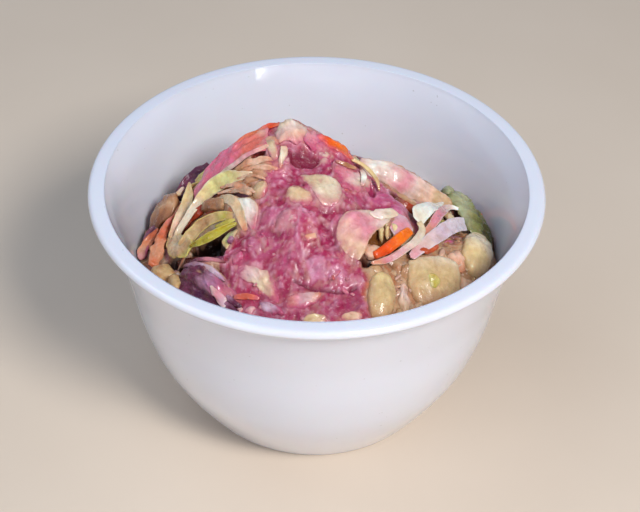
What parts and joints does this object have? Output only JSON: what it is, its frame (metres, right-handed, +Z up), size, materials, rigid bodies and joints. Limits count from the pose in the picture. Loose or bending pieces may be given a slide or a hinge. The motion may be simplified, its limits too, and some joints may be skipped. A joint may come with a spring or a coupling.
{
  "type": "coleslaw in a bowl",
  "caption": "Coleslaw heaped in a small round white bowl with a rolled lip: shredded pale and purple cabbage, carrot shreds and pale chunks under a pink dressing.",
  "frame": {"origin": "middle of the circle that the bowl stands on", "axes": "+Z up through the bowl's axis, -Y the side that the heap slopes down to most gently, +X to the right of a person who looks from -Y"},
  "size_m": [0.114, 0.114, 0.075],
  "materials": {
    "bowl": "gloss",
    "slaw": "satin",
    "dressing": "gloss",
    "pale_cabbage": "satin",
    "green_cabbage": "satin",
    "purple_cabbage": "satin",
    "carrot": "satin",
    "pale_chunks": "satin"
  },
  "bodies": {
    "root": {"bowl": "bowl", "slaw": "slaw"}
  },
  "joints": []
}
